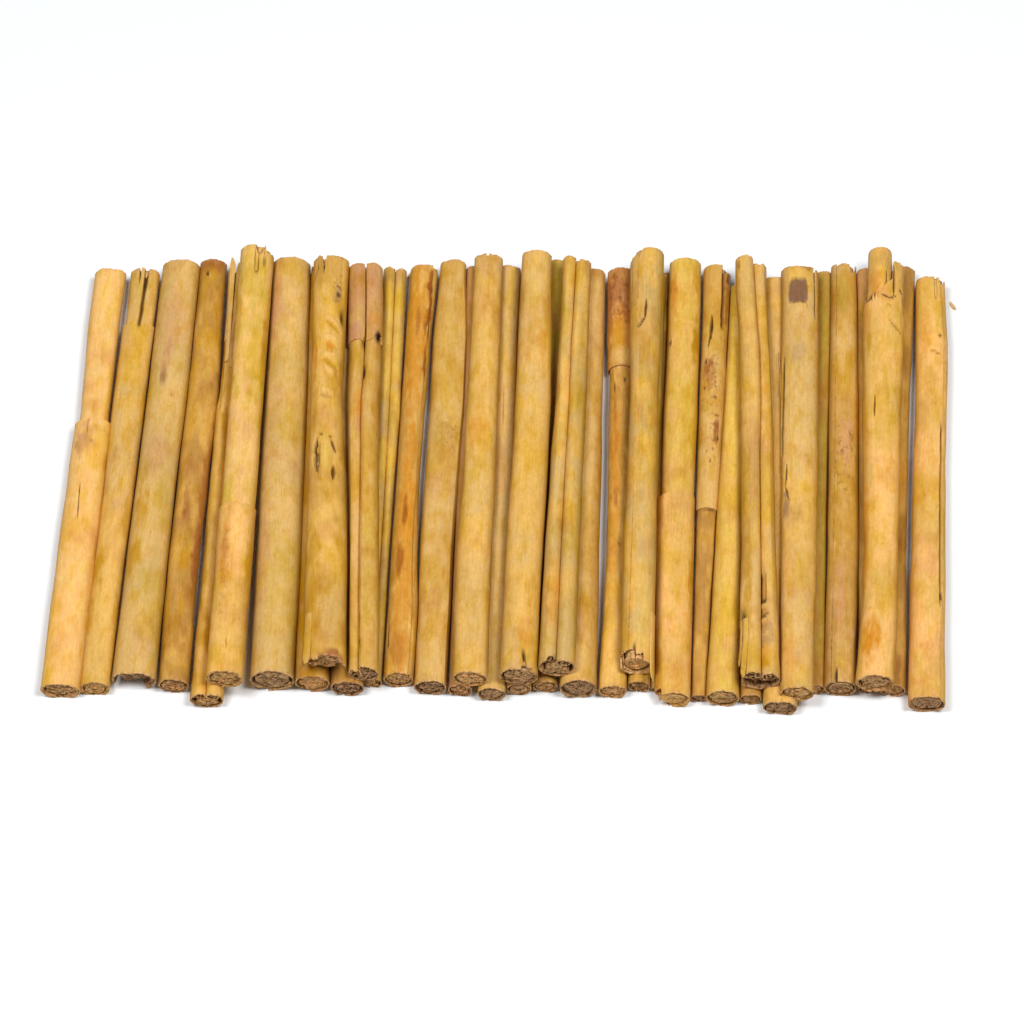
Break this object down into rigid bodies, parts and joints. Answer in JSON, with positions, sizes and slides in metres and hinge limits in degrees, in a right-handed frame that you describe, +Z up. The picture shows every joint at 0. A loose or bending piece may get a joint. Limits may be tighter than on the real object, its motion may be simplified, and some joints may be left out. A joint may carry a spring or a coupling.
{
  "type": "bundle of cinnamon sticks",
  "caption": "Rolled quills of cinnamon bark lying side by side in a wide flat row, with more resting in the hollows on top; a cooking spice.",
  "frame": {"origin": "middle of the bundle's footprint, on the surface that it lies on", "axes": "+X along the row of quills, +Y along the quills towards their far ends, +Z up"},
  "size_m": [0.232, 0.136, 0.0164],
  "materials": {
    "bark": "dry matt rolled bark, golden tan with brown cut ends"
  },
  "bodies": {
    "root": {"cinnamon_sticks": "bark"}
  },
  "joints": []
}
